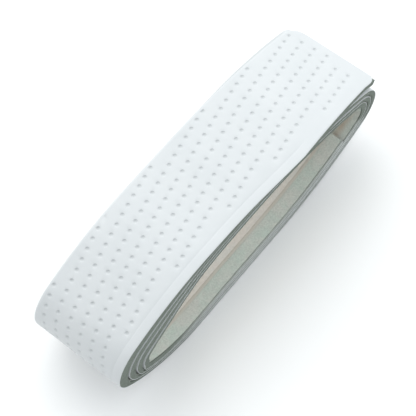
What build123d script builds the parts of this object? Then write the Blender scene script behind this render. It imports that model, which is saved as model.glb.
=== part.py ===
from build123d import *
import os
from math import asin, atan2, cos, degrees, hypot, radians, sin

# A replacement grip for a racket handle: one laminated strip, wound on itself 3.9 turns and pressed flat.
# The strip's path is drawn in the XZ plane as arcs and short flats that are tangent to each other,
# counter-clockwise from the free outer end, and every layer of the strip is an offset of that path.
# X runs along the roll, Y across the strip, Z up; the origin is under the middle of the roll, on the surface
# it rests on.  All sizes are in millimetres and all angles in degrees.

# ---- the strip -----------------------------------------------------------------------------------------
tape_width = 27.0
liner_width = 19.0
skin_thickness = 0.3
cushion_thickness = 0.9
backing_thickness = 0.2
adhesive_thickness = 0.1
liner_thickness = 0.1

# ---- the flattened roll --------------------------------------------------------------------------------
roll_height = 36.3
turns = 4
floor_flat = (-19.5, 11.0)          # x where the bottom run starts and stops lying flat
lower_pitch = 1.7                   # from turn to turn, in the bottom run, which the roll's weight closes
upper_pitch = 1.85                  # from turn to turn, in the top run
top_flats = [(-15.0, 0.0), (-10.0, 0.0), (-9.0, 0.0), (-8.0, 0.0)]

# x, z and outer radius of each turn's bend at the left end, from the outermost turn inwards: the outer turn
# goes round in a wide loose bend, and the others are nested low inside it
left_bends = [(-39.4, 19.2, 11.2), (-37.2, 17.6, 9.7), (-36.8, 16.8, 7.6), (-37.3, 16.0, 5.0)]
right_bend = (41.9, 16.4, 8.7)      # the same for the right end, where the second turn is the outermost one
right_pitch = 1.75                  # from turn to turn round the right end

inner_end_angle = 23.3              # how far the innermost turn climbs towards the right end
tail_radius = 114.0                 # the free end of the outer turn, which lies over the right end
tail_end_angle = 26.2

# ---- the free end, which lifts off the roll -------------------------------------------------------------
hinge_angles = (2.0, 9.8, 17.5)     # measured round the tail's arc from its top
hinge_cut = 0.25                    # width of the cut between two segments
taper_start_angle = 13.0            # from here on the free end is cut narrower
taper_width = 1.8


def left_nose(turn):
    """Centre and outer radius of one turn's left bend."""
    x, z, radius = left_bends[turn]
    return (x, z), radius


def right_nose(turn):
    """Centre and outer radius of one turn's right bend, counted like the run that enters it from above."""
    x, z, radius = right_bend
    return (x, z), radius - (turn - 1) * right_pitch


def run_arc(level, flat_x, nose_centre, nose_radius):
    """Centre and radius of the arc that leaves a level flat at flat_x and runs smoothly into a nose."""
    across = nose_centre[0] - flat_x
    depth = abs(nose_centre[1] - level)
    radius = (across**2 + depth**2 - nose_radius**2) / (2 * (depth - nose_radius))
    inward = 1 if nose_centre[1] > level else -1
    return (flat_x, level + inward * radius), radius


def direction(start, end):
    """Angle of the line from start to end, from 0 to 360."""
    return degrees(atan2(end[1] - start[1], end[0] - start[0])) % 360


def arc(centre, radius, start, end):
    """An arc of the path, counter-clockwise from start to end."""
    return ("arc", centre, radius, start, (end - start) % 360)


def top_left(turn):
    """The top run from its flat to the left nose, with the angle at which it meets the nose."""
    level = roll_height - turn * upper_pitch
    centre, radius = run_arc(level, top_flats[turn][0], *left_nose(turn))
    return centre, radius, direction(centre, left_nose(turn)[0])


def top_right(turn):
    """The top run from the right nose to its flat, with the angle at which it leaves the nose."""
    level = roll_height - turn * upper_pitch
    centre, radius = run_arc(level, top_flats[turn][1], *right_nose(turn))
    return centre, radius, direction(centre, right_nose(turn)[0])


def turn_path(turn):
    """One turn without its top right part: over the top, round the left nose and along the floor."""
    level = roll_height - turn * upper_pitch
    floor = turn * lower_pitch
    nose_centre, nose_radius = left_nose(turn)
    up_centre, up_radius, up_angle = top_left(turn)
    down_centre, down_radius = run_arc(floor, floor_flat[0], nose_centre, nose_radius)
    down_angle = direction(down_centre, nose_centre)
    end_centre, end_radius = run_arc(floor, floor_flat[1], *right_nose(turn + 1))
    end_angle = direction(end_centre, right_nose(turn + 1)[0])
    if turn == turns - 1:
        end_angle = 270 + inner_end_angle
    flat_start, flat_end = top_flats[turn][1], top_flats[turn][0]
    return [
        ("line", (flat_start, level), (flat_end, level), -1),
        arc(up_centre, up_radius, 90, up_angle),
        arc(nose_centre, nose_radius, up_angle, down_angle),
        arc(down_centre, down_radius, down_angle, 270),
        ("line", (floor_flat[0], floor), (floor_flat[1], floor), 1),
        arc(end_centre, end_radius, 270, end_angle),
    ]


def roll_path():
    """The whole strip but its free end, from the first hinge to the inner end."""
    cut = degrees(hinge_cut / 2 / tail_radius)
    path = [arc(tail_centre, tail_radius, 90 - hinge_angles[0] + cut, 90)]
    for turn in range(turns):
        path += turn_path(turn)
        if turn < turns - 1:
            nose_centre, nose_radius = right_nose(turn + 1)
            centre, radius, leave = top_right(turn + 1)
            path.append(arc(nose_centre, nose_radius, path[-1][3] + path[-1][4], leave))
            path.append(arc(centre, radius, leave, 90))
    return path


def tail_path(segment):
    """One segment of the free end, from its outer end to its hinge."""
    cut = degrees(hinge_cut / 2 / tail_radius)
    last = segment == len(hinge_angles) - 1
    outer = tail_end_angle if last else hinge_angles[segment + 1] - cut
    return [arc(tail_centre, tail_radius, 90 - outer, 90 - hinge_angles[segment] - cut)]


def edge(piece, offset):
    """One piece of the path, moved towards the inside of the roll by offset."""
    if piece[0] == "line":
        start, end, inward = piece[1:]
        return Line((start[0], start[1] + inward * offset), (end[0], end[1] + inward * offset))
    centre, radius, start, sweep = piece[1:]
    return CenterArc(centre, radius - offset, start, sweep)


def layer(path, outer, inner, width):
    """A layer of the strip between two depths below its face, as a solid across the roll."""
    far = [edge(piece, outer) for piece in path]
    near = [edge(piece, inner) for piece in path]
    ends = [Line(far[0] @ 0, near[0] @ 0), Line(far[-1] @ 1, near[-1] @ 1)]
    outline = Plane.XZ * make_face(Curve() + far + near + ends)
    return extrude(outline, amount=width / 2, both=True)


def path_length(path):
    """Length of the strip's face along a path."""
    total = 0
    for piece in path:
        if piece[0] == "line":
            total += hypot(piece[2][0] - piece[1][0], piece[2][1] - piece[1][1])
        else:
            total += piece[2] * radians(piece[4])
    return total


def taper_cut():
    """The wedge that the free end loses along its near edge."""
    start_x = tail_radius * sin(radians(taper_start_angle))
    end_x = tail_radius * sin(radians(tail_end_angle)) + liner_width
    slope = taper_width / (tail_radius * sin(radians(tail_end_angle)) - start_x)
    edge_y = -tape_width / 2
    wedge = Polyline(
        (start_x, edge_y),
        (end_x, edge_y + slope * (end_x - start_x)),
        (end_x, edge_y - tape_width),
        (start_x, edge_y - tape_width),
        close=True,
    )
    return extrude(make_face(wedge), amount=roll_height + tape_width)


tail_centre = (top_flats[0][1], roll_height - tail_radius)
total_thickness = (
    skin_thickness + cushion_thickness + backing_thickness + adhesive_thickness + liner_thickness
)
layers = [
    ("skin", skin_thickness, tape_width, "#eef1f2"),
    ("cushion", cushion_thickness, tape_width, "#8e9a92"),
    ("backing", backing_thickness, tape_width, "#a5aca0"),
    ("adhesive", adhesive_thickness, liner_width, "#cfc8a8"),
    ("liner", liner_thickness, liner_width, "#c9bfa6"),
]
bodies = {"roll": roll_path()}
for number, letter in enumerate("abc"):
    bodies["tail_" + letter] = tail_path(number)

parts = {}
for body, path in bodies.items():
    depth = 0
    for name, thickness, width, colour in layers:
        solid = layer(path, depth, depth + thickness, width)
        if body in ("tail_b", "tail_c"):
            solid = solid - taper_cut()
        solid.color = Color(colour)
        solid.label = body + "_" + name
        parts[solid.label] = solid
        depth += thickness

os.makedirs("parts", exist_ok=True)
for name, solid in parts.items():
    export_step(solid, "parts/" + name + ".step")

strip_length = sum(path_length(path) for path in bodies.values())
print("strip length", round(strip_length, 1), "mm, thickness", round(total_thickness, 2), "mm")
for letter, angle in zip("abc", hinge_angles):
    x = tail_centre[0] + tail_radius * sin(radians(angle))
    z = tail_centre[1] + tail_radius * cos(radians(angle))
    print("hinge tail_" + letter, "x", round(x, 3), "z", round(z, 3))
slack = tail_radius - total_thickness - right_bend[2] - hypot(
    right_nose(1)[0][0] - tail_centre[0], right_nose(1)[0][1] - tail_centre[1]
)
print("gap under the free end", round(slack, 2), "mm")
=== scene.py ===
import math

import bmesh
import bpy
import numpy as np
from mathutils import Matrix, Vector
from mathutils.geometry import delaunay_2d_cdt


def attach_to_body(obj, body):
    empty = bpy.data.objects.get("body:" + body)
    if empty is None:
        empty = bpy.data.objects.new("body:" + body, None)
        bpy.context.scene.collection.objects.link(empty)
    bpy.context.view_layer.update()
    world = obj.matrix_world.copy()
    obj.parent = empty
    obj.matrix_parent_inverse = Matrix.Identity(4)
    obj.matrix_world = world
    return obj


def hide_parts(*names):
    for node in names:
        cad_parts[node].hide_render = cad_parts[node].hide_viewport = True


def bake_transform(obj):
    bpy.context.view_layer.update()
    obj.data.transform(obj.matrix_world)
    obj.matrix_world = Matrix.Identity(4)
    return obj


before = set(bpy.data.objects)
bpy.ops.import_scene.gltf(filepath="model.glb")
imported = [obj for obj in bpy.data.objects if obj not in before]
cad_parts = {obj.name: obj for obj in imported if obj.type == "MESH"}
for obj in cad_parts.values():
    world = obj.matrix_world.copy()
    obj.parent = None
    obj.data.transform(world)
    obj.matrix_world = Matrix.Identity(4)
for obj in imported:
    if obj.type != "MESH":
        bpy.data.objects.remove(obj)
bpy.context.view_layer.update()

# A replacement grip for a racket handle, wound on itself and pressed flat.  The whole strip is made flat,
# in strip coordinates (s along it from its free outer end, w across it from its near edge, depth below its
# face), and place() lays those points on the wound path.  Lengths are in millimetres up to the mesh.
MM = 0.001

# ---- the wound path: the CAD model's own driving dimensions ----------------------------------------------
TAPE_WIDTH = 27.0
ROLL_HEIGHT = 36.3
TURNS = 4
FLOOR_FLAT = (-19.5, 11.0)
LOWER_PITCH = 1.7
UPPER_PITCH = 1.85
TOP_FLATS = [(-15.0, 0.0), (-10.0, 0.0), (-9.0, 0.0), (-8.0, 0.0)]
LEFT_NOSES = [(-39.4, 19.2, 11.2), (-37.2, 17.6, 9.7), (-36.8, 16.8, 7.6), (-37.3, 16.0, 5.0)]
RIGHT_NOSE = (41.9, 16.4, 8.7)
RIGHT_PITCH = 1.75
INNER_END_ANGLE = 23.3
TAIL_RADIUS = 114.0
TAIL_END_ANGLE = 26.2
HINGE_ANGLES = (2.0, 9.8, 17.5)

# ---- the layers: how deep below the face each one starts and stops ---------------------------------------
THICKNESS = 1.6
FILM = (0.0, 0.3)
FOAM = (0.31, 1.19)
CLOTH = (1.2, 1.4)
GLUE = (1.405, 1.49)
PAPER = (1.495, 1.6)
FOAM_INSET = 0.05
CLOTH_INSET = 0.36
GLUE_MARGIN = 3.9
PAPER_MARGIN = 4.7
RIM = 0.35                          # so near the edges the film thins out and the foam laps over the cloth
FILM_THINNING = 0.22                # by this much, except along the bottom run
CLOTH_LAP = 0.19
NEAR_SKIVE = (0.12, 0.5)            # how far the face is pressed down at the near edge, and over what width
FAR_SKIVE = (0.2, 0.5)
END_SKIVE = (0.05, 0.6)
MARGIN_SLOPE = 0.08                 # how far the face falls from the crease to the near edge
INNER_SKIVE = 0.25                  # the share of all this that is left inside the roll

# ---- the perforation: a grid of pressed pits, turned against the strip -----------------------------------
HOLE_STEP = 2.82
HOLE_ROW = 3.62
HOLE_TURN = math.radians(11)
HOLE_START = (43.15, 14.16)         # one hole's s and w
HOLE_BAND = (3.9, 26.1)             # holes lie between these w,
HOLE_TO_CREASE = 0.9                # at least this far from the crease,
HOLE_TO_CUT = 1.0                   # from a cut,
HOLE_TO_ENDS = (3.0, 1.6)           # and from the strip's outer and inner end
PIT_RIM = 0.7
PIT_RINGS = [(0.62, 0.02), (0.51, 0.11), (0.38, 0.2), (0.22, 0.24)]     # radius and depth of each
PIT_LEAN = np.array([-0.2, 0.3])    # how far a pit's deepest point is off its centre, as s and w
PIT_DEPTH = 0.27
PIT_SIDES = 12
SHOWN_LENGTH = 330.0                # the outer turn and part of the next one, where pits can be seen
PLAIN_RINGS = [(0.5, 0.1)]          # the pits beyond them are simpler
PLAIN_SIDES = 8
PLAIN_DEPTH = 0.2

# ---- how the strip was cut -------------------------------------------------------------------------------
CREASE = 2.5                        # from the near edge to the pressed line along it
CREASE_DEPTH = 0.08
CREASE_WIDTH = 0.16
CREASE_START = (-27.0, -17.0)       # the line fades in here, measured along the strip from the roll's top
BULGE = 0.8                         # how far the near edge swells before the free end is cut narrower
BULGE_START = -8.0                  # distances from the top of the roll, to the right
TAPER_START = 19.5
TAPER_LENGTH = 29.0
TAPER = 2.75
END_S = -0.9                        # the free end's near corner, a little past the path's start
END_SKEW = 2.3                      # the free end is not cut quite square
NEAR_CORNER = 0.2                   # its corners are rounded
FAR_CORNER = 4.0
FILM_CORNER = 2.4                   # the film's near corner is rounder, which bares the foam's
STAIN = (641.0, 2.9)                # s and w of an adhesive stain on the backing, just past the inner end
STAIN_SIZE = (11.0, 1.6)
SEAM_COLUMNS = (6, 0, -5)           # the joins between the strip's pieces run between these columns of holes
BEND_HALF_LENGTH = 6.2

# ---- the meshes ------------------------------------------------------------------------------------------
FILM_STEPS = (1.3, 2.6)             # column spacing of the film, where it is shown and where it is hidden
FOAM_STEP = 0.6
FOAM_ROWS = 4
FOAM_BULGE = 0.03                   # how far the foam's cut edges stand out,
FOAM_ROUGHNESS = 0.006              # and how rough they and the cloth's are
CLOTH_ROUGHNESS = 0.02
FOAM_SEED = 10
CLOTH_SEED = 20
SHEET_STEP = 1.0
BEND_STEP = 0.11                    # columns are closer in tight bends: this times the radius
LEAST_STEP = 0.3
END_STEP = 0.2                      # and at the free end, where they grow by this share of s
END_STEP_GROWTH = 0.4
POINTS_ACROSS = 9
CUT_POINTS = 18                     # points of the film's cut ends between the crease and the far rails
OFF_EDGE = 0.01                     # triangles nearer to an edge or a cut than this are left out
OFF_CUT = 0.003
NEAR_RAILS = [0.0, 0.12, 0.3, 0.5, 0.9, 1.6]        # the film's lines along the strip, from each edge
FAR_RAILS = [0.5, 0.3, 0.12, 0.0]
CREASE_RAIL = 0.13                  # spacing of the five lines down the crease
FILL_BAND = (CREASE + 1.1, TAPE_WIDTH - 0.7)        # the film's loose points lie between these w,
FILL_STEP = 1.25                    # this far apart,
FILL_TO_PIT = 0.35                  # and at least this far from the pits' rims, the crease and so on
FILL_TO_CREASE = 0.8
FILL_TO_FAR_EDGE = 0.9
FILL_TO_CUT = 0.5
SHARP = 40.0                        # edges with a greater angle than this are shaded sharp
FILM_SHARP = 35.0

# ---- how the strip was wound: shifts of the turns, and where along X they come in ------------------------
TIP_RISE = 0.2                      # how much higher the free end's tip is than the path
TIP_LENGTH = 10.0
TAIL_RISE = 0.45                    # how much the free end stands off the roll between its tip and the top
RIGHT_BULGE = 0.25                  # how much further out the turns go at the right end
SHOULDER = 0.55                     # how much the next turn swells under the free end
SHOULDER_FALL = 0.7                 # the share of it that is lost round the right end
SETTLING = 0.4                      # how much further out each inner turn lies low at the left
WAVE = (0.02, 9.1)                  # height and length of the small waves in how closely the turns lie
WANDER = [(0.12, 37.0, 2.2), (0.06, 13.3, 2.0)]     # height, length and phase of the edges' waves
CREEP = 1.2                         # the turns under the free end creep away from the near side by this
CREEP_START = -26.0
CREEP_LENGTH = 72.0
CREEP_LIMIT = 1.05
LEAN = (0.0, 0.1, 0.2, 0.35)        # how far each turn's left bend leans out at the near side
SAG = (0.0, 0.1, 0.4, 1.0)          # and how far it sags, by this share of
SAG_SHIFT = (0.7, -0.75)            # this much to the right and down
LEAN_SPAN = (-18.0, -38.0)          # both come in between these x

# ---- the foam's thickness, which fills what the turns leave ----------------------------------------------
SLACK = 0.12                        # left between neighbouring turns once the foam has filled the space
BARE_SWELLING = 0.1                 # how much thicker than pressed the foam is where no turn meets it
TAIL_SWELLING = 0.9                 # how much thicker it is at most in the free end,
NOSE_SWELLING = 0.55                # in the right bend before the innermost turn,
INNER_SWELLING = 0.8                # and where the innermost turn comes out of its left bend
NOSE_SPREAD = 6.0
INNER_SPREAD = 14.0
NEXT_TURN = 60.0                    # a turn meets only what is this much further along the strip,
MET_ASIDE = 0.6                     # this close to straight in from its back
MET_OVERLAP = -1.5                  # and not further outside of it than this
OPEN_GAP = 4.0                      # a wider gap is open, with no turn in it
FOAM_CHANGE = (-0.68, 2.6)


def direction(start, end):
    """Angle of the line from start to end, from 0 to 360 degrees."""
    return math.degrees(math.atan2(end[1] - start[1], end[0] - start[0])) % 360


def run_arc(level, flat_x, nose_centre, nose_radius):
    """Centre and radius of the arc that leaves a level flat at flat_x and runs smoothly into a nose."""
    across = nose_centre[0] - flat_x
    depth = abs(nose_centre[1] - level)
    radius = (across**2 + depth**2 - nose_radius**2) / (2 * (depth - nose_radius))
    inward = 1 if nose_centre[1] > level else -1
    return (flat_x, level + inward * radius), radius


def left_nose(turn):
    """Centre and outer radius of one turn's left bend."""
    x, z, radius = LEFT_NOSES[turn]
    return (x, z), radius


def right_nose(turn):
    """Centre and outer radius of one turn's right bend."""
    x, z, radius = RIGHT_NOSE
    return (x, z), radius - (turn - 1) * RIGHT_PITCH


def arc(centre, radius, start, end):
    """One arc of the path, counter-clockwise."""
    sweep = math.radians((end - start) % 360)
    return {"centre": centre, "radius": radius, "start": math.radians(start), "length": radius * sweep}


def flat(start, end):
    """One straight stretch of the path."""
    return {"start": start, "end": end, "radius": None, "length": math.dist(start, end)}


def strip_path():
    """The face of the strip from its free end to its inner end, as arcs and flats that are tangent."""
    tail_centre = (TOP_FLATS[0][1], ROLL_HEIGHT - TAIL_RADIUS)
    path = [arc(tail_centre, TAIL_RADIUS, 90 - TAIL_END_ANGLE, 90)]
    for turn in range(TURNS):
        top, floor = ROLL_HEIGHT - turn * UPPER_PITCH, turn * LOWER_PITCH
        nose, radius = left_nose(turn)
        up, up_radius = run_arc(top, TOP_FLATS[turn][0], nose, radius)
        down, down_radius = run_arc(floor, FLOOR_FLAT[0], nose, radius)
        next_nose, next_radius = right_nose(turn + 1)
        rise, rise_radius = run_arc(floor, FLOOR_FLAT[1], next_nose, next_radius)
        last = turn == TURNS - 1
        rise_end = 270 + INNER_END_ANGLE if last else direction(rise, next_nose)
        path += [
            flat((TOP_FLATS[turn][1], top), (TOP_FLATS[turn][0], top)),
            arc(up, up_radius, 90, direction(up, nose)),
            arc(nose, radius, direction(up, nose), direction(down, nose)),
            arc(down, down_radius, direction(down, nose), 270),
            flat((FLOOR_FLAT[0], floor), (FLOOR_FLAT[1], floor)),
            arc(rise, rise_radius, 270, rise_end),
        ]
        if not last:
            next_top = top - UPPER_PITCH
            over, over_radius = run_arc(next_top, TOP_FLATS[turn + 1][1], next_nose, next_radius)
            path.append(arc(next_nose, next_radius, rise_end, direction(over, next_nose)))
            path.append(arc(over, over_radius, direction(over, next_nose), 90))
    return path


PATH = strip_path()
STARTS = np.concatenate([[0], np.cumsum([piece["length"] for piece in PATH])])
STRIP_LENGTH = float(STARTS[-1])
TOP_S = PATH[0]["length"]           # where the strip lies on top of the roll, at the free end's start
PIECES_PER_TURN = 8
FLAT, DOWN, RIGHT, OVER = 0, 3, 6, 7        # some of a turn's pieces, as strip_path() orders them


def piece_start(turn, piece):
    """s where a piece of a turn starts; the free end's arc comes before them all."""
    return STARTS[1 + turn * PIECES_PER_TURN + piece]


def step(value, start, end):
    """Smooth step from 0 where value is start to 1 where it is end, either way round."""
    t = np.clip((value - start) / (end - start), 0, 1)
    return t * t * (3 - 2 * t)


def hump(value, middle, spread):
    """A bell from 0 to 1 and back."""
    return np.exp(-(((value - middle) / spread) ** 2))


def turn_of(s):
    """Which turn of the roll each s is in, from 0 for the outermost."""
    piece = np.searchsorted(STARTS, s, side="right") - 1
    return np.clip((piece - 1) // PIECES_PER_TURN, 0, TURNS - 1)


def creep(s, x):
    """Sideways shift.  The free end lies straight, the turns under it creep away towards the right, and the
    inner ones lean out at the left."""
    below = step(s - TOP_S, 40, 100)
    right = np.clip((x - CREEP_START) / CREEP_LENGTH, 0, CREEP_LIMIT)
    wander = sum(height * np.sin(s / length + phase) for height, length, phase in WANDER)
    lean = np.array(LEAN)[turn_of(s)] * step(x, *LEAN_SPAN)
    return below * (CREEP * right + wander * step(right, 0, 0.4)) - lean


def sag(s, x):
    """Shift in x and z of the inner turns' left bends."""
    share = np.array(SAG)[turn_of(s)] * step(x, *LEAN_SPAN)
    return share[..., None] * np.array(SAG_SHIFT)


def on_path(s):
    """Points of the face's path at s, and the outward normals there."""
    point, out = np.zeros(s.shape + (2,)), np.zeros(s.shape + (2,))
    index = np.clip(np.searchsorted(STARTS, s, side="right") - 1, 0, len(PATH) - 1)
    for number, piece in enumerate(PATH):
        here = index == number
        along = (s[here] - STARTS[number])[..., None]
        if piece["radius"] is None:
            start, end = np.array(piece["start"]), np.array(piece["end"])
            run = (end - start) / piece["length"]
            point[here] = start + run * along
            out[here] = run[1], -run[0]
        else:
            angle = piece["start"] + along / piece["radius"]
            out[here] = np.concatenate([np.cos(angle), np.sin(angle)], axis=-1)
            point[here] = np.array(piece["centre"]) + piece["radius"] * out[here]
    return point + sag(s, point[..., 0]), out


def lift(s, point, out):
    """Outward shift: small waves in how closely the turns lie, the raised free end and the turn that swells
    under it, the bulge at the right end, and the turns that settle at the left of the bottom run."""
    x = point[..., 0]
    waves = WAVE[0] * step(s, 300, 360) * np.sin(s / WAVE[1])
    rise = TAIL_RISE * step(s, 0, 14) * step(TOP_S - s, 6, 24) + TIP_RISE * step(s, TIP_LENGTH, 0)
    right = RIGHT_BULGE * step(x, 38, 47) * step(s - TOP_S, 90, 110)
    under_tail = step(s - piece_start(0, RIGHT), 4, 12) * step(piece_start(1, FLAT) - s, 0, 8)
    shoulder = SHOULDER * under_tail * step(x, 10, 28) * (1 - SHOULDER_FALL * step(x, 38, 46))
    low = step(-out[..., 1], 0.25, 0.75) * step(x, -50, -40) * step(x, -2, -24)
    return waves + rise + right + shoulder + SETTLING * turn_of(s) * low


def loose_foam():
    """How much thicker than pressed the foam is at every millimetre of the strip, where it fills what the
    turns leave straight in from its back.  Also how far each belongs to the bottom run, from 0 to 1."""
    s = np.arange(0.0, STRIP_LENGTH, 1.0)
    face, out = on_path(s)
    face = face + lift(s, face, out)[:, None] * out
    back = face - THICKNESS * out
    away = face[None, :, :] - back[:, None, :]
    inward = -(away * out[:, None, :]).sum(axis=2)
    aside = np.abs(away[..., 0] * out[:, None, 1] - away[..., 1] * out[:, None, 0])
    met = (s[None, :] > s[:, None] + NEXT_TURN) & (aside < MET_ASIDE) & (inward > MET_OVERLAP)
    gap = np.where(met, inward, 2 * OPEN_GAP).min(axis=1)
    nose = hump(s, (piece_start(TURNS - 2, RIGHT) + piece_start(TURNS - 2, OVER)) / 2, NOSE_SPREAD)
    bare = SLACK + BARE_SWELLING
    gap = np.where(gap > OPEN_GAP, bare + NOSE_SWELLING * nose, gap)
    bend = hump(s, piece_start(TURNS - 1, DOWN) + 6, INNER_SPREAD)
    gap = np.where(s > piece_start(TURNS - 1, FLAT), bare + INNER_SWELLING * bend, gap)
    gap = np.where(s < TOP_S, np.minimum(gap, SLACK + TAIL_SWELLING), gap)
    low = np.array([gap[max(0, k - 1) : k + 2].min() for k in range(len(gap))])
    low = low + (gap - low) * step(s, 6, 0)
    even = np.convolve(np.pad(low, 2, mode="edge"), np.ones(5) / 5, mode="valid")
    bottom = step(-out[:, 1], 0.75, 0.95) * step(face[:, 0], -34, -16)
    return s, np.clip(even - SLACK, *FOAM_CHANGE), bottom


LOOSE_S, LOOSE, BOTTOM = loose_foam()


def place(strip):
    """Points in millimetres from strip coordinates, an array of (s, w, depth)."""
    s, w, depth = np.moveaxis(np.asarray(strip, float), -1, 0)
    point, out = on_path(s)
    share = np.clip((depth - FOAM[0]) / (FOAM[1] - FOAM[0]), 0, 1)
    under = depth + np.interp(s, LOOSE_S, LOOSE) * share - lift(s, point, out)
    x, z = np.moveaxis(point - under[..., None] * out, -1, 0)
    return np.stack([x, w - TAPE_WIDTH / 2 + creep(s, point[..., 0]), z], axis=-1)


def corner(s, radius):
    """What a rounded corner of that radius takes off the width at s."""
    return radius - np.sqrt(np.clip(radius**2 - np.clip(radius - s, 0, radius) ** 2, 0, None))


def near_edge(s, radius=NEAR_CORNER):
    """w of the strip's near edge: it swells a little before the free end, which is cut narrower."""
    right = TOP_S - s
    swell = -BULGE * step(right, BULGE_START, TAPER_START)
    cut = TAPER * np.clip((right - TAPER_START) / TAPER_LENGTH, 0, 1)
    return swell + cut + corner(s - END_S, radius)


def film_edge(s):
    """w of the film's near edge."""
    return near_edge(s, FILM_CORNER)


def far_edge(s):
    """w of the strip's far edge, with a rounded corner at the free end."""
    return TAPE_WIDTH - corner(s - END_S - 0.85 * END_SKEW, FAR_CORNER)


def skived(s, w, depth):
    """Depth with the strip's edges pressed down, most at its face and not at all at its back."""
    near, far = w - near_edge(s), far_edge(s) - w
    drop = MARGIN_SLOPE * np.clip(1 - near / CREASE, 0, 1)
    for away, (height, width) in ((near, NEAR_SKIVE), (far, FAR_SKIVE), (s - END_S, END_SKIVE)):
        drop = drop + height * np.clip(1 - away / width, 0, 1) ** 2
    share = INNER_SKIVE + (1 - INNER_SKIVE) * step(TOP_S - s, -110, -50)
    return depth + drop * (1 - depth / THICKNESS) * share


def edgeness(s, w):
    """How near the strip's edges a point is, up to 1."""
    return np.clip(1 - np.minimum(w - near_edge(s), far_edge(s) - w) / RIM, 0, 1)


def thinning(s, w):
    """How much thinner the film is towards its cut edges."""
    return FILM_THINNING * edgeness(s, w) * (1 - np.interp(s, LOOSE_S, BOTTOM))


def hole_grid(i, j):
    """s and w of the hole in column i and row j."""
    s = HOLE_START[0] - i * HOLE_STEP * math.cos(HOLE_TURN) + j * HOLE_ROW * math.sin(HOLE_TURN)
    w = HOLE_START[1] + i * HOLE_STEP * math.sin(HOLE_TURN) + j * HOLE_ROW * math.cos(HOLE_TURN)
    return s, w


def seam(column):
    """A cut across the strip between a column of holes and the next, as a function s(w)."""
    s, w = hole_grid(column + 0.5, 0)
    return lambda across: s + math.tan(HOLE_TURN) * (np.asarray(across, float) - w)


def square(s, skew=0.0):
    """A cut across the strip that runs this much further along at its far edge, as a function s(w)."""
    return lambda across: s + skew * np.asarray(across, float) / TAPE_WIDTH


def holes(first, last):
    """Centres of the holes between two cuts, out of a grid that is sure to cover the whole strip."""
    count = int(STRIP_LENGTH / HOLE_STEP) + 40
    s, w = hole_grid(*np.meshgrid(np.arange(-count, 60), np.arange(-20, 80), indexing="ij"))
    s, w = s.ravel(), w.ravel()
    keep = (w > HOLE_BAND[0]) & (w < HOLE_BAND[1]) & (w > near_edge(s) + CREASE + HOLE_TO_CREASE)
    keep &= (s > first(w) + HOLE_TO_CUT) & (s < last(w) - HOLE_TO_CUT)
    keep &= (s > HOLE_TO_ENDS[0]) & (s < STRIP_LENGTH - HOLE_TO_ENDS[1])
    return np.stack([s[keep], w[keep]], axis=1)


def columns(first, last, shown_step, hidden_step):
    """Where mesh columns stand between two cuts, from 0 to 1: closer in tight bends and at the free end."""
    low, high = float(first(TAPE_WIDTH / 2)), float(last(TAPE_WIDTH / 2))
    marks = [low]
    while marks[-1] < high:
        s = marks[-1]
        piece = PATH[min(int(np.searchsorted(STARTS, s + 1e-6, side="right")) - 1, len(PATH) - 1)]
        usual = shown_step if s < SHOWN_LENGTH else hidden_step
        bend = BEND_STEP * (piece["radius"] - THICKNESS / 2) if piece["radius"] else usual
        marks.append(s + min(usual, max(LEAST_STEP, bend), END_STEP + END_STEP_GROWTH * max(s, 0)))
    return (np.array(marks) - low) / (marks[-1] - low)


def new_piece(name, strip, faces, material, sharp=SHARP):
    """A closed mesh from strip coordinates.  It keeps them in the attribute 'strip', for its material."""
    mesh = bpy.data.meshes.new(name)
    mesh.from_pydata((place(strip) * MM).tolist(), [], faces)
    work = bmesh.new()
    work.from_mesh(mesh)
    bmesh.ops.recalc_face_normals(work, faces=work.faces)
    work.to_mesh(mesh)
    work.free()
    mesh.shade_smooth()
    mesh.set_sharp_from_angle(angle=math.radians(sharp))
    mesh.attributes.new("strip", "FLOAT_VECTOR", "POINT").data.foreach_set(
        "vector", np.asarray(strip, np.float32).ravel()
    )
    # the bottom share also carries painted light into the foam's colour along the bottom run
    bottom = mesh.attributes.new("bottom", "FLOAT", "POINT")
    bottom.data.foreach_set("value", np.interp(strip[:, 0], LOOSE_S, BOTTOM).astype(np.float32))
    mesh.materials.append(material)
    piece = bpy.data.objects.new(name, mesh)
    bpy.context.scene.collection.objects.link(piece)
    return piece


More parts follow.
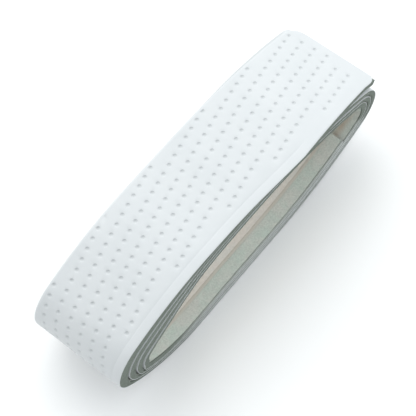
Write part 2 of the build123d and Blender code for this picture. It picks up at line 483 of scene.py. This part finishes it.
def shell(name, cuts, span, margin, material, spacing=SHEET_STEP, rows=1, bulge=0.0, rough=0.0, seed=1,
          lap=(0.0, 0.0)):
    """A closed layer of the strip between two cuts.  span is its depths, and margin what it leaves free at
    both edges.  rows are the extra points down each edge, which bulge and are rough.  lap is what it gains
    at the edges: a share of the film's thinning towards the face, and a thickness towards the back."""
    first, last = cuts
    rng = np.random.default_rng(seed)
    t = columns(first, last, spacing, spacing)[:, None]
    spread = (1 - np.cos(np.linspace(0, math.pi, POINTS_ACROSS))) / 2
    spread = np.sort(np.append(spread, (RIM / TAPE_WIDTH, 1 - RIM / TAPE_WIDTH)))
    across = len(spread)
    down = np.arange(1, rows + 1) / (rows + 1)
    u = np.concatenate([spread, np.ones(rows), spread[::-1], np.zeros(rows)])[None, :]
    share = np.concatenate([np.zeros(across), down, np.ones(across), down[::-1]])[None, :]
    middle = first(TAPE_WIDTH / 2) * (1 - t) + last(TAPE_WIDTH / 2) * t
    low, high = near_edge(middle) + margin, far_edge(middle) - margin
    w = low + u * (high - low)
    noise = rng.normal(0, 1, w.shape)
    side = np.where(u < 1e-6, -1.0, 0.0) + np.where(u > 1 - 1e-6, 1.0, 0.0)
    w = w + side * (bulge * np.sin(math.pi * share) + rough * noise)
    s = first(w) * (1 - t) + last(w) * t
    face, back = span[0] - lap[0] * thinning(s, w), span[1] + lap[1] * edgeness(s, w)
    depth = skived(s, w, face + share * (back - face))
    n, m = w.shape
    index = np.arange(n * m).reshape(n, m)
    turned = np.roll(index, -1, axis=1)
    faces = np.stack([index[:-1], turned[:-1], turned[1:], index[1:]], axis=-1).reshape(-1, 4).tolist()
    for ring in (index[0].tolist(), index[-1].tolist()):
        top, bottom = ring[:across], ring[across + rows : 2 * across + rows][::-1]
        faces += [[top[k], top[k + 1], bottom[k + 1], bottom[k]] for k in range(across - 1)]
        faces.append([top[-1], *ring[across : across + rows], bottom[-1]])
        faces.append([bottom[0], *ring[2 * across + rows :], top[0]])
    return new_piece(name, np.stack([s, w, depth], axis=-1).reshape(-1, 3), faces, material)


class FlatNet:
    """Points and lines on the flat strip, to be filled with triangles."""

    def __init__(self):
        self.points = []
        self.edges = []

    def add(self, points):
        """Adds loose points and returns their numbers."""
        start = len(self.points)
        self.points += [tuple(point) for point in np.asarray(points, float).tolist()]
        return list(range(start, len(self.points)))

    def line(self, points, closed=False):
        """Adds a line through points and returns their numbers."""
        numbers = self.add(points)
        self.edges += list(zip(numbers, numbers[1:] + numbers[:1] if closed else numbers[1:]))
        return numbers

    def fill(self):
        """The points, triangles over all of them, and the new number of each added point."""
        made = delaunay_2d_cdt([Vector(p) for p in self.points], self.edges, [], 0, 1e-5)
        renumbered = np.zeros(len(self.points), int)
        for new, olds in enumerate(made[3]):
            renumbered[olds] = new
        return np.array([tuple(v) for v in made[0]]), np.array(made[2]), renumbered


def rails(first, last, t):
    """Lines along the strip near its edges and down its crease, each an array of (s, w)."""
    middle = first(TAPE_WIDTH / 2) * (1 - t) + last(TAPE_WIDTH / 2) * t
    near = NEAR_RAILS + [CREASE + CREASE_RAIL * k for k in (-2, -1, 0, 1, 2)]
    lines = []
    for edge, sign, offset in [(film_edge, 1, d) for d in near] + [(far_edge, -1, d) for d in FAR_RAILS]:
        guess = edge(middle) + sign * offset
        s = first(guess) * (1 - t) + last(guess) * t
        lines.append(np.stack([s, edge(s) + sign * offset], axis=1))
    return lines


def pit_ring(centres, sides, radius, depth):
    """Strip coordinates of a ring of points in every pit: the smaller it is, the more it is off centre."""
    turn = np.arange(sides) * 2 * math.pi / sides
    ring = np.stack([np.cos(turn), np.sin(turn)], axis=1)
    middles = centres + PIT_LEAN * (1 - radius / PIT_RIM)
    points = middles[:, None, :] + radius * ring[None, :, :]
    return np.concatenate([points, np.full(points.shape[:2] + (1,), depth)], axis=-1)


def fill_points(first, last):
    """Loose points (s, w) of the shown film between its holes, its crease and its edges."""
    across = np.arange(*FILL_BAND, FILL_STEP)
    s, w = np.meshgrid(columns(first, last, FILM_STEPS[0], FILM_STEPS[0]), across)
    s, w = s.ravel(), w.ravel()
    s = first(w) * (1 - s) + last(w) * s
    lattice = np.stack([s - HOLE_START[0], w - HOLE_START[1]], axis=1)
    cos, sin = math.cos(HOLE_TURN), math.sin(HOLE_TURN)
    cell = lattice @ np.array([[-cos, sin], [sin, cos]]).T / (HOLE_STEP, HOLE_ROW)
    away = np.hypot(*((cell - np.round(cell)) * (HOLE_STEP, HOLE_ROW)).T)
    keep = (away > PIT_RIM + FILL_TO_PIT) & (s < SHOWN_LENGTH)
    keep &= (w > near_edge(s) + CREASE + FILL_TO_CREASE) & (w < far_edge(s) - FILL_TO_FAR_EDGE)
    keep &= (s > first(w) + FILL_TO_CUT) & (s < last(w) - FILL_TO_CUT)
    return np.stack([s[keep], w[keep]], axis=1)


def film(name, cuts, material):
    """The perforated film between two cuts, as one closed shell with a pressed pit at every hole."""
    first, last = cuts
    t = columns(first, last, *FILM_STEPS)
    net = FlatNet()
    lines = rails(first, last, t)
    for line in lines:
        net.line(line)
    for end, cut in ((0, first), (-1, last)):
        w = [line[end][1] for line in lines]
        crease_side, far_side = w[len(lines) - len(FAR_RAILS) - 1 :][:2]
        w = sorted(w + np.linspace(crease_side, far_side, CUT_POINTS)[1:-1].tolist())
        net.line(np.stack([cut(w), w], axis=1))
    centres = holes(first, last)
    shown = centres[:, 0] < SHOWN_LENGTH
    groups = []
    for part, sides in ((centres[shown], PIT_SIDES), (centres[~shown], PLAIN_SIDES)):
        rims = pit_ring(part, sides, PIT_RIM, 0.0)
        numbers = [net.line(rim[:, :2], closed=True) for rim in rims]
        groups.append((part, sides, np.array(numbers, int).reshape(-1, sides)))
    net.add(fill_points(first, last))
    points, triangles, renumbered = net.fill()
    s, w = points[triangles].mean(axis=1).T
    inside = (w > film_edge(s) + OFF_EDGE) & (w < far_edge(s) - OFF_EDGE)
    triangles = triangles[inside & (s > first(w) + OFF_CUT) & (s < last(w) - OFF_CUT)]
    owner = np.full(len(points), -1)
    for number, rim in enumerate(rim for group in groups for rim in group[2]):
        owner[renumbered[rim]] = number
    owners = owner[triangles]
    in_pit = (owners[:, 0] >= 0) & (owners[:, 0] == owners[:, 1]) & (owners[:, 0] == owners[:, 2])
    triangles = triangles[~in_pit]
    count = len(points)
    s, w = points.T
    groove = CREASE_DEPTH * hump(w - near_edge(s), CREASE, CREASE_WIDTH) * step(s - TOP_S, *CREASE_START)
    face = np.stack([s, w, skived(s, w, FILM[0] + groove)], axis=1)
    back = np.stack([s, w, skived(s, w, FILM[1] - thinning(s, w))], axis=1)
    strip, pit = [face, back], [np.zeros(2 * count)]
    faces = triangles.tolist() + (triangles[:, ::-1] + count).tolist()
    sides_used = {(a, b) for tri in triangles.tolist() for a, b in zip(tri, tri[1:] + tri[:1])}
    total = 2 * count

    def sink(part, sides, start, rings, floor):
        """Rings of faces down from a start ring at every centre, closed by a fan."""
        nonlocal total
        outer = start
        for radius, depth in rings:
            strip.append(pit_ring(part, sides, radius, depth).reshape(-1, 3))
            # the pit value is painted shade: it rises with depth and greys the film inside its pits
            pit.append(np.full(len(strip[-1]), min(1.0, depth / PIT_DEPTH) ** 3))
            inner = total + np.arange(len(strip[-1])).reshape(-1, sides)
            total += inner.size
            quads = [outer, np.roll(outer, -1, axis=1), np.roll(inner, -1, axis=1), inner]
            faces.extend(np.stack(quads, axis=-1).reshape(-1, 4).tolist())
            outer = inner
        strip.append(pit_ring(part, 1, 0.0, floor).reshape(-1, 3))
        # the pit floors get the full painted shade
        pit.append(np.ones(len(part)))
        tip = total + np.repeat(np.arange(len(part))[:, None], sides, axis=1)
        total += len(part)
        faces.extend(np.stack([outer, np.roll(outer, -1, axis=1), tip], axis=-1).reshape(-1, 3).tolist())

    for (part, sides, rims), rings, floor in (
        (groups[0], PIT_RINGS, PIT_DEPTH), (groups[1], PLAIN_RINGS, PLAIN_DEPTH)
    ):
        rims = renumbered[rims].reshape(-1, sides)
        for pair in zip(rims.ravel().tolist(), np.roll(rims, -1, axis=1).ravel().tolist()):
            sides_used |= {pair, pair[::-1]}
        sink(part, sides, rims, rings, floor)
        sink(part, sides, rims + count, [], FILM[1])
    for a, b in list(sides_used):
        if (b, a) not in sides_used:
            faces.append([b, a, a + count, b + count])
    piece = new_piece(name, np.concatenate(strip), faces, material, FILM_SHARP)
    # the pit attribute carries the pits' painted shade to the film's material
    pits = piece.data.attributes.new("pit", "FLOAT", "POINT")
    pits.data.foreach_set("value", np.concatenate(pit).astype(np.float32))
    return piece


# ---- materials -------------------------------------------------------------------------------------------
class Nodes:
    """A material with one Principled shader, and short calls to add nodes to it."""

    MIX_FACTOR, MIX_COLOURS, MIX_RESULT = 0, (6, 7), 2      # a Mix node's sockets when it mixes colours

    def __init__(self, name, **constants):
        self.material = bpy.data.materials.new(name)
        self.material.use_nodes = True
        self.tree = self.material.node_tree
        self.shader = self.tree.nodes["Principled BSDF"]
        for socket, value in constants.items():
            self.shader.inputs[socket.replace("_", " ")].default_value = value
        self.strip = self.add("ShaderNodeAttribute", attribute_name="strip").outputs["Vector"]

    def add(self, kind, **settings):
        """A node with these settings; names that are inputs are set or linked."""
        node = self.tree.nodes.new(kind)
        for key, value in settings.items():
            if hasattr(node, key):
                setattr(node, key, value)
                continue
            self.feed(node.inputs[key.replace("_", " ")], value)
        return node

    def feed(self, socket, value):
        """Links a value to a socket, or sets it."""
        if isinstance(value, bpy.types.NodeSocket):
            self.tree.links.new(value, socket)
        else:
            socket.default_value = value

    def noise(self, scale, detail=3.0, roughness=0.55):
        """Noise in strip coordinates, with scale in waves per millimetre."""
        node = self.add("ShaderNodeTexNoise", Vector=self.strip, Scale=scale, Detail=detail,
                        Roughness=roughness)
        return node.outputs["Fac"]

    def math(self, operation, *values):
        """A Math node's result."""
        node = self.add("ShaderNodeMath", operation=operation)
        for socket, value in zip(node.inputs, values):
            self.feed(socket, value)
        return node.outputs["Value"]

    def ramp(self, value, *stops):
        """Colours along a value: stops are (place, (r, g, b))."""
        node = self.tree.nodes.new("ShaderNodeValToRGB")
        self.tree.links.new(value, node.inputs["Fac"])
        while len(node.color_ramp.elements) < len(stops):
            node.color_ramp.elements.new(0.5)
        for element, (at, colour) in zip(node.color_ramp.elements, stops):
            element.position = at
            element.color = (*colour, 1)
        return node.outputs["Color"]

    def mix(self, factor, a, b, blend="MIX"):
        """Two colours mixed by a factor from 0 to 1."""
        node = self.add("ShaderNodeMix", data_type="RGBA", blend_type=blend)
        self.feed(node.inputs[self.MIX_FACTOR], factor)
        for key, colour in zip(self.MIX_COLOURS, (a, b)):
            self.feed(node.inputs[key], (*colour, 1) if isinstance(colour, tuple) else colour)
        return node.outputs[self.MIX_RESULT]

    def spot(self, centre, size):
        """1 at a place on the strip, falling to 0 this far along and across it."""
        strip = self.add("ShaderNodeSeparateXYZ", Vector=self.strip)
        shares = []
        for key in (0, 1):
            away = self.math("ABSOLUTE", self.math("SUBTRACT", strip.outputs[key], centre[key]))
            share = self.math("SUBTRACT", 1.0, self.math("DIVIDE", away, size[key]))
            shares.append(self.math("MAXIMUM", share, 0.0))
        return self.math("MULTIPLY", *shares)

    def bump(self, height, distance, strength=1.0, normal=None):
        """A bump of that height in metres, added to another."""
        node = self.add("ShaderNodeBump", Height=height, Distance=distance, Strength=strength)
        if normal:
            self.tree.links.new(normal, node.inputs["Normal"])
        return node.outputs["Normal"]

    def set(self, socket, value):
        """Links a value to the shader."""
        self.tree.links.new(value, self.shader.inputs[socket])


def film_material():
    """White polyurethane film with a fine leather-like grain, and painted shade in its pits: they are
    greyer the deeper they go.
    """
    n = Nodes("white_film", Roughness=0.5, IOR=1.45)
    tone = n.ramp(n.noise(0.09, 2.0), (0.3, (0.63, 0.65, 0.66)), (0.7, (0.655, 0.672, 0.68)))
    pit = n.add("ShaderNodeAttribute", attribute_name="pit").outputs["Fac"]
    # painted shade: grey mixed into the film by the pit value
    n.set("Base Color", n.mix(pit, tone, (0.53, 0.55, 0.555)))
    n.set("Roughness", n.math("MULTIPLY_ADD", n.noise(1.4, 4.0), 0.25, 0.5))
    grain = n.bump(n.noise(3.5, 5.0, 0.65), 0.00003, 0.6)
    n.set("Normal", n.bump(n.noise(0.7, 2.0), 0.00006, 0.5, grain))
    return n.material


def foam_material():
    """Open grey-green foam with small dark pores and a crumbly surface, paler along the bottom run, where
    light bounced from the floor is painted into its colour.
    """
    n = Nodes("grey_foam", Roughness=0.95, IOR=1.4)
    cells = n.add("ShaderNodeTexVoronoi", Vector=n.strip, Scale=5.0).outputs["Distance"]
    pores = ((0.0, (0.13, 0.15, 0.13)), (0.35, (0.175, 0.20, 0.175)), (0.8, (0.215, 0.245, 0.215)))
    tone = n.ramp(cells, *pores)
    wide = n.ramp(n.noise(0.35, 3.0), (0.3, (0.85, 0.86, 0.84)), (0.7, (1.0, 1.0, 1.0)))
    bottom = n.add("ShaderNodeAttribute", attribute_name="bottom").outputs["Fac"]
    # painted light: the foam along the bottom run is made paler for light bounced up from the floor
    bounce_lit_foam = n.mix(bottom, tone, (0.42, 0.445, 0.425))
    n.set("Base Color", n.mix(1.0, bounce_lit_foam, wide, "MULTIPLY"))
    n.set("Normal", n.bump(cells, 0.00012, 0.8, n.bump(n.noise(2.0, 4.0), 0.00015, 0.8)))
    return n.material


def cloth_material():
    """Thin nonwoven backing cloth: crossed fibres over a grey-green ground, with a brown adhesive stain."""
    n = Nodes("backing_cloth", Roughness=0.9, IOR=1.4)
    fibres = n.noise(2.6, 5.0, 0.7)
    tone = n.ramp(fibres, (0.3, (0.46, 0.50, 0.46)), (0.7, (0.65, 0.69, 0.64)))
    patches = n.ramp(n.noise(0.16, 4.0, 0.6), (0.38, (0.94, 0.99, 0.97)), (0.62, (1.03, 0.98, 0.98)))
    tone = n.mix(1.0, tone, patches, "MULTIPLY")
    stain = n.math("MULTIPLY", n.spot(STAIN, STAIN_SIZE), n.math("MULTIPLY", n.noise(0.5, 4.0), 2.2))
    n.set("Base Color", n.mix(stain, tone, (0.52, 0.45, 0.37)))
    n.set("Normal", n.bump(fibres, 0.00008, 0.8))
    return n.material


def glue_material():
    """Pale pressure-sensitive adhesive, a little greyer at its near rim."""
    n = Nodes("pale_adhesive", Roughness=0.35, IOR=1.47)
    across = n.add("ShaderNodeSeparateXYZ", Vector=n.strip).outputs["Y"]
    inward = n.math("SUBTRACT", n.math("MULTIPLY_ADD", n.noise(0.25, 3.0), 0.8, across), GLUE_MARGIN)
    n.set("Base Color", n.ramp(inward, (0.1, (0.57, 0.57, 0.52)), (1.0, (0.56, 0.52, 0.46))))
    n.set("Normal", n.bump(n.noise(1.5, 3.0), 0.00005, 0.5))
    return n.material


def paper_material():
    """Beige release paper with a faint fibre mottle."""
    n = Nodes("release_paper", Roughness=0.6, IOR=1.45)
    tone = n.ramp(n.noise(1.2, 5.0, 0.7), (0.3, (0.62, 0.60, 0.555)), (0.7, (0.74, 0.715, 0.67)))
    patches = n.ramp(n.noise(0.2, 4.0, 0.6), (0.38, (1.0, 1.0, 1.0)), (0.62, (1.03, 0.985, 0.965)))
    n.set("Base Color", n.mix(1.0, tone, patches, "MULTIPLY"))
    n.set("Normal", n.bump(n.noise(2.4, 4.0), 0.00004, 0.6))
    return n.material


# ---- pieces ----------------------------------------------------------------------------------------------
def tail_point(s):
    """The point in the middle of the strip at s, in metres."""
    return tuple((place(np.array([s, TAPE_WIDTH / 2, THICKNESS / 2])) * MM).tolist())


def sections():
    """The strip's four pieces along its length: name, cuts, bodies, s of the hinge, CAD body."""
    cuts = [square(END_S, END_SKEW), *(seam(column) for column in SEAM_COLUMNS), square(STRIP_LENGTH)]
    hinge_s = [TAIL_RADIUS * math.radians(TAIL_END_ANGLE - angle) for angle in HINGE_ANGLES]
    return [
        ("end", cuts[0:2], ("tail_b", "tail_c"), hinge_s[2], "tail_c"),
        ("middle", cuts[1:3], ("tail_a", "tail_b"), hinge_s[1], "tail_b"),
        ("start", cuts[2:4], ("roll", "tail_a"), hinge_s[0], "tail_a"),
        ("coil", cuts[3:5], ("roll",), None, "roll"),
    ]


def attach(piece, bodies, hinge_s, node):
    """The piece takes the CAD layer's place, and rides on its body; a piece between two bodies keeps its
    place, baked into its mesh.
    """
    if len(bodies) == 1:
        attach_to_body(piece, bodies[0])
    else:
        tail_point(hinge_s + BEND_HALF_LENGTH)
        tail_point(hinge_s - BEND_HALF_LENGTH)
        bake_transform(piece)
    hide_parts(node)


def build_strip():
    """Every layer of the strip in its four pieces."""
    white, grey, cloth, glue, paper = (
        film_material(), foam_material(), cloth_material(), glue_material(), paper_material()
    )
    for number, (name, cuts, bodies, hinge_s, body) in enumerate(sections()):
        made = {
            "skin": film("film_" + name, cuts, white),
            "cushion": shell("foam_" + name, cuts, FOAM, FOAM_INSET, grey, FOAM_STEP, FOAM_ROWS,
                             FOAM_BULGE, FOAM_ROUGHNESS, FOAM_SEED + number, (1.0, CLOTH_LAP)),
            "backing": shell("cloth_" + name, cuts, CLOTH, CLOTH_INSET, cloth,
                             rough=CLOTH_ROUGHNESS, seed=CLOTH_SEED + number),
            "adhesive": shell("adhesive_" + name, cuts, GLUE, GLUE_MARGIN, glue),
            "liner": shell("liner_" + name, cuts, PAPER, PAPER_MARGIN, paper),
        }
        for slot, piece in made.items():
            attach(piece, bodies, hinge_s, body + "_" + slot)
        length = float(cuts[1](TAPE_WIDTH / 2) - cuts[0](TAPE_WIDTH / 2)) * MM


# ---- the set: lengths in metres --------------------------------------------------------------------------
CAMERA_PLACE = (-0.28091, -0.23057, 0.80171)
CAMERA_TARGET = (-0.00045, 0.00006, 0.018)
CAMERA_SENSOR = 36.0                # in millimetres, as is the lens
CAMERA_LENS = 302.9
CAMERA_CLIP = (0.05, 20.0)
KEY_PLACE = (0.40, 0.60, 0.95)
KEY_SIZE = 0.9
KEY_POWER = 3.8
KEY_COLOUR = (1.0, 0.985, 0.96)
LIGHT_TARGET = (0, 0, 0.015)
SKY_BRIGHT_SIDE = (0.55, 0.45, 0.7)
SKY_DIFFERENCE = 0.62
SKY_STRENGTH = 0.80
SKY_COLOUR = (0.96, 1.0, 1.02)
FLOOR_HALF = 3
FLOOR_GAP = 0.0002                  # just below the roll
FLOOR_COLOUR = (0.95, 0.945, 0.94)


def look_at(thing, target):
    """Turns a camera or light towards a point."""
    thing.rotation_mode = "QUATERNION"
    thing.rotation_quaternion = (Vector(target) - thing.location).to_track_quat("-Z", "Y")


def make_camera():
    """A long lens from above the roll's near left."""
    data = bpy.data.cameras.new("camera")
    data.sensor_width, data.lens = CAMERA_SENSOR, CAMERA_LENS
    data.clip_start, data.clip_end = CAMERA_CLIP
    camera = bpy.data.objects.new("camera", data)
    bpy.context.scene.collection.objects.link(camera)
    camera.location = CAMERA_PLACE
    look_at(camera, CAMERA_TARGET)
    bpy.context.scene.camera = camera


def make_light(name, location, size, power, colour):
    """A square area light that faces the roll."""
    data = bpy.data.lights.new(name, "AREA")
    data.shape, data.size, data.energy, data.color = "SQUARE", size, power, colour
    light = bpy.data.objects.new(name, data)
    bpy.context.scene.collection.objects.link(light)
    light.location = location
    look_at(light, LIGHT_TARGET)


def make_floor():
    """A plain near-white floor."""
    mesh = bpy.data.meshes.new("floor")
    corners = [(-FLOOR_HALF, -FLOOR_HALF), (FLOOR_HALF, -FLOOR_HALF),
               (FLOOR_HALF, FLOOR_HALF), (-FLOOR_HALF, FLOOR_HALF)]
    mesh.from_pydata([(x, y, 0) for x, y in corners], [], [(0, 1, 2, 3)])
    floor = bpy.data.objects.new("floor", mesh)
    bpy.context.scene.collection.objects.link(floor)
    floor.location.z = -FLOOR_GAP
    n = Nodes("floor_white", Roughness=0.9)
    n.shader.inputs["Base Color"].default_value = (*FLOOR_COLOUR, 1)
    mesh.materials.append(n.material)


def make_world():
    """Even cool white light from all round, a little stronger from above on the far right."""
    world = bpy.data.worlds.new("studio")
    world.use_nodes = True
    tree = world.node_tree
    coordinates = tree.nodes.new("ShaderNodeTexCoord")
    dot = tree.nodes.new("ShaderNodeVectorMath")
    dot.operation = "DOT_PRODUCT"
    dot.inputs[1].default_value = SKY_BRIGHT_SIDE
    tree.links.new(coordinates.outputs["Generated"], dot.inputs[0])
    scale = tree.nodes.new("ShaderNodeMath")
    scale.operation = "MULTIPLY_ADD"
    scale.inputs[1].default_value = SKY_DIFFERENCE
    scale.inputs[2].default_value = SKY_STRENGTH
    tree.links.new(dot.outputs["Value"], scale.inputs[0])
    background = tree.nodes["Background"]
    background.inputs["Color"].default_value = (*SKY_COLOUR, 1)
    tree.links.new(scale.outputs["Value"], background.inputs["Strength"])
    bpy.context.scene.world = world


make_camera()
build_strip()
make_floor()
make_world()
make_light("key", KEY_PLACE, KEY_SIZE, KEY_POWER, KEY_COLOUR)
bpy.context.scene.view_settings.view_transform = "Standard"
